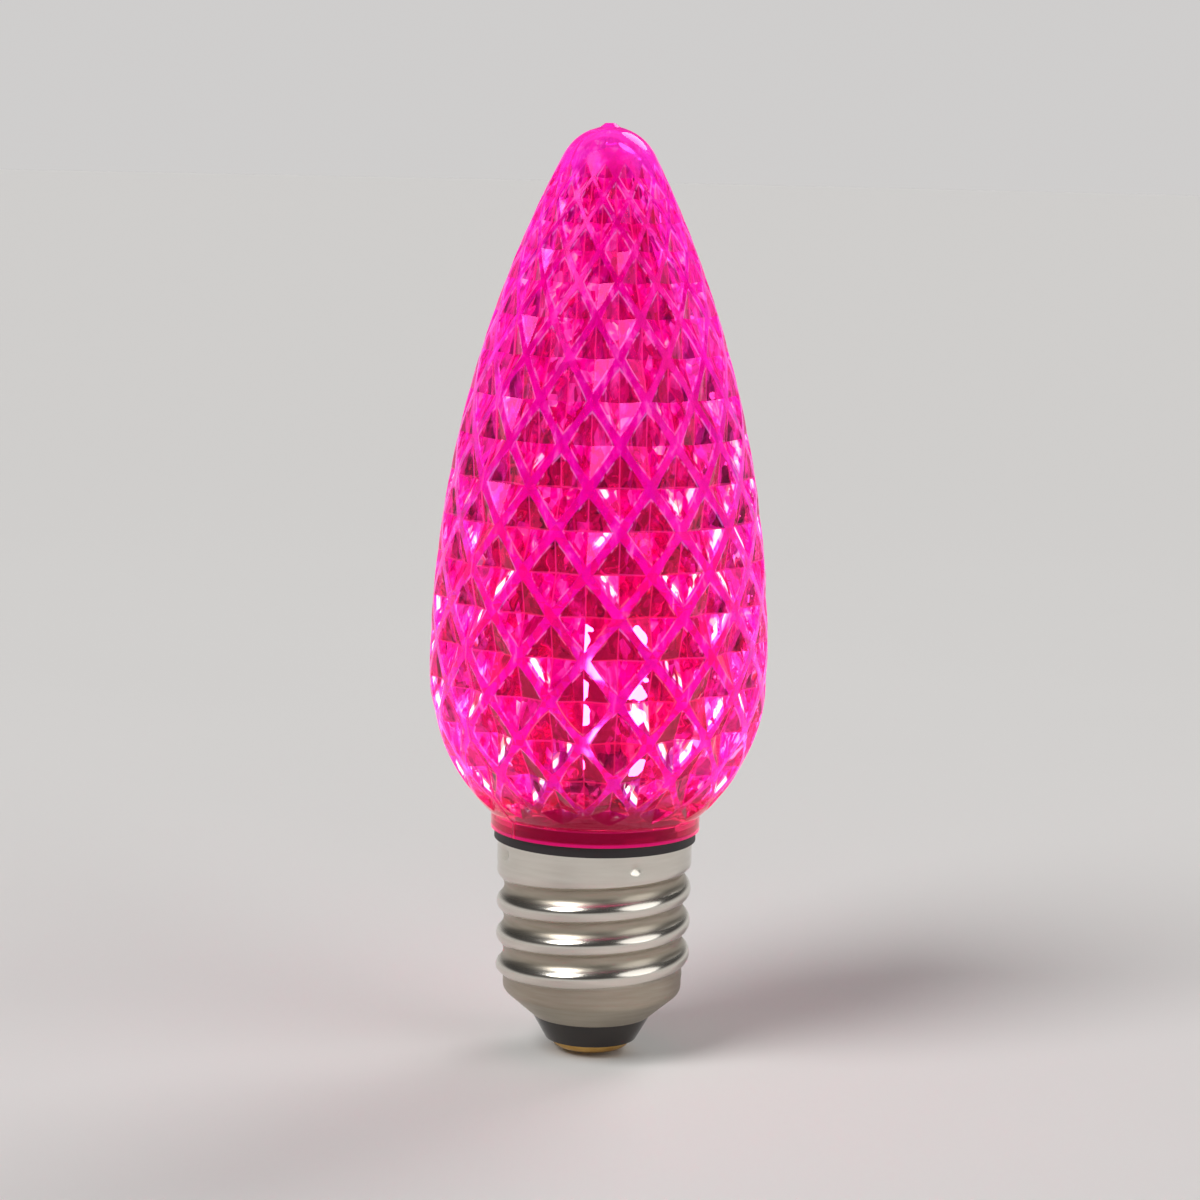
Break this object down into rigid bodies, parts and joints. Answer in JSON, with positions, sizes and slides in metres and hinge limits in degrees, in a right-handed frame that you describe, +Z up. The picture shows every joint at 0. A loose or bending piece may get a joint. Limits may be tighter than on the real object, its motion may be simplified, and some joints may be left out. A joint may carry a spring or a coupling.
{
  "type": "string light bulb",
  "caption": "Teardrop bulb with a clear pink lens of sunk diamond facets, lamps on an upright board inside it, and an intermediate screw base.",
  "frame": {"origin": "centre of the collar's underside, where the lens meets its holder", "axes": "+Z up the bulb's axis to the tip of the lens, -Y to the front"},
  "size_m": [0.0286, 0.0286, 0.0791],
  "materials": {
    "lens_plastic": "clear, polished",
    "plug_plastic": "satin",
    "shell_metal": "nickel plated",
    "insulator_plastic": "gloss",
    "contact_metal": "satin",
    "solder_metal": "dull",
    "board_laminate": "white solder mask",
    "led_housing_plastic": "matte",
    "led_gel": "lit",
    "component_black": "matte",
    "capacitor_sleeve": "shrunk sleeve",
    "resistor_lacquer": "lacquer",
    "tinned_wire": "tinned"
  },
  "bodies": {
    "root": {"lens": "lens_plastic", "base_plug": "plug_plastic", "screw_shell": "shell_metal", "contact_insulator": "insulator_plastic", "centre_contact": "contact_metal", "contact_solder": "solder_metal", "circuit_board": "board_laminate", "front_upper_led": "led_housing_plastic", "front_lower_led": "led_housing_plastic", "back_upper_led": "led_housing_plastic", "back_lower_led": "led_housing_plastic", "front_upper_led_gel": "led_gel", "front_lower_led_gel": "led_gel", "back_upper_led_gel": "led_gel", "back_lower_led_gel": "led_gel", "bridge_rectifier": "component_black", "smoothing_capacitor": "capacitor_sleeve", "dropper_resistor": "resistor_lacquer", "centre_wire": "tinned_wire", "shell_wire": "tinned_wire"}
  },
  "joints": []
}
